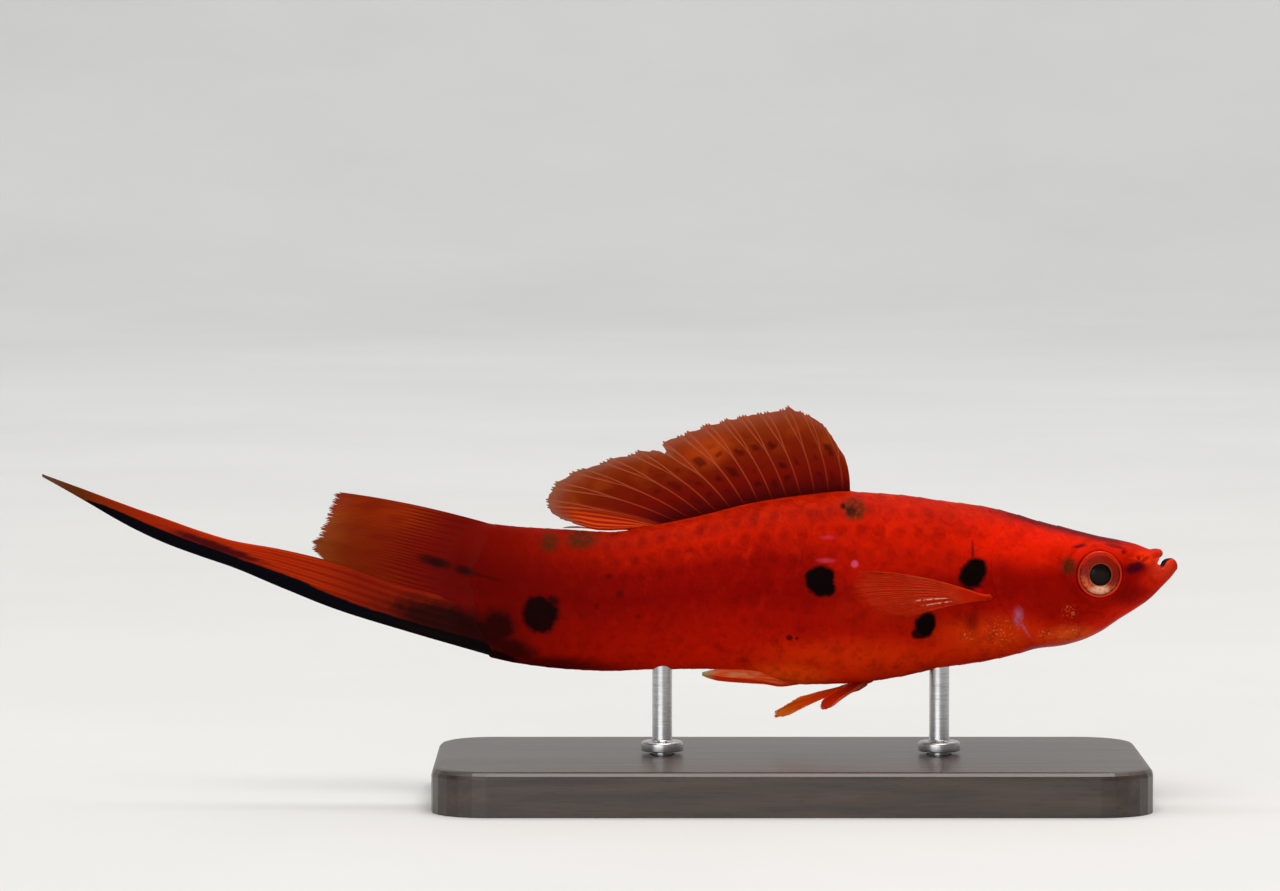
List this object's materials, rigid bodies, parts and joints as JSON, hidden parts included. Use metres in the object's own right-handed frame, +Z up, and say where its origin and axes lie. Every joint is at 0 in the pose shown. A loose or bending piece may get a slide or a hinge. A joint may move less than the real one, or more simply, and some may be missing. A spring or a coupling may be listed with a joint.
{
  "type": "male swordtail fish model on a display stand",
  "caption": "Life-size still model of a red male swordtail with black spots, held level over a flat base by short rods.",
  "frame": {"origin": "centre of the flat underside of the stand's base, on the floor", "axes": "+X towards the fish's snout, +Y towards its left side, +Z up"},
  "size_m": [0.1031, 0.03, 0.0352],
  "materials": {
    "red_skin": "scaled red skin with black spots, moist sheen",
    "eye": "copper iris with a black pupil under a clear cornea",
    "fin": "thin translucent red-orange fin with fine rays",
    "sword": "red above, blue-black band below, fine rays",
    "stand_wood": "dark satin wood",
    "stand_steel": "brushed steel"
  },
  "bodies": {
    "root": {"head": "red_skin", "lower_jaw": "red_skin", "gill_cover_right": "red_skin", "gill_cover_left": "red_skin", "trunk": "red_skin", "tail_stalk": "red_skin", "eye_right": "eye", "eye_left": "eye", "dorsal_fin": "fin", "caudal_fin": "fin", "pectoral_fin_right": "fin", "pectoral_fin_left": "fin", "pelvic_fin_right": "fin", "pelvic_fin_left": "fin", "gonopodium": "fin", "sword": "sword", "stand_base": "stand_wood", "stand_rod_front": "stand_steel", "stand_rod_rear": "stand_steel"}
  },
  "joints": []
}
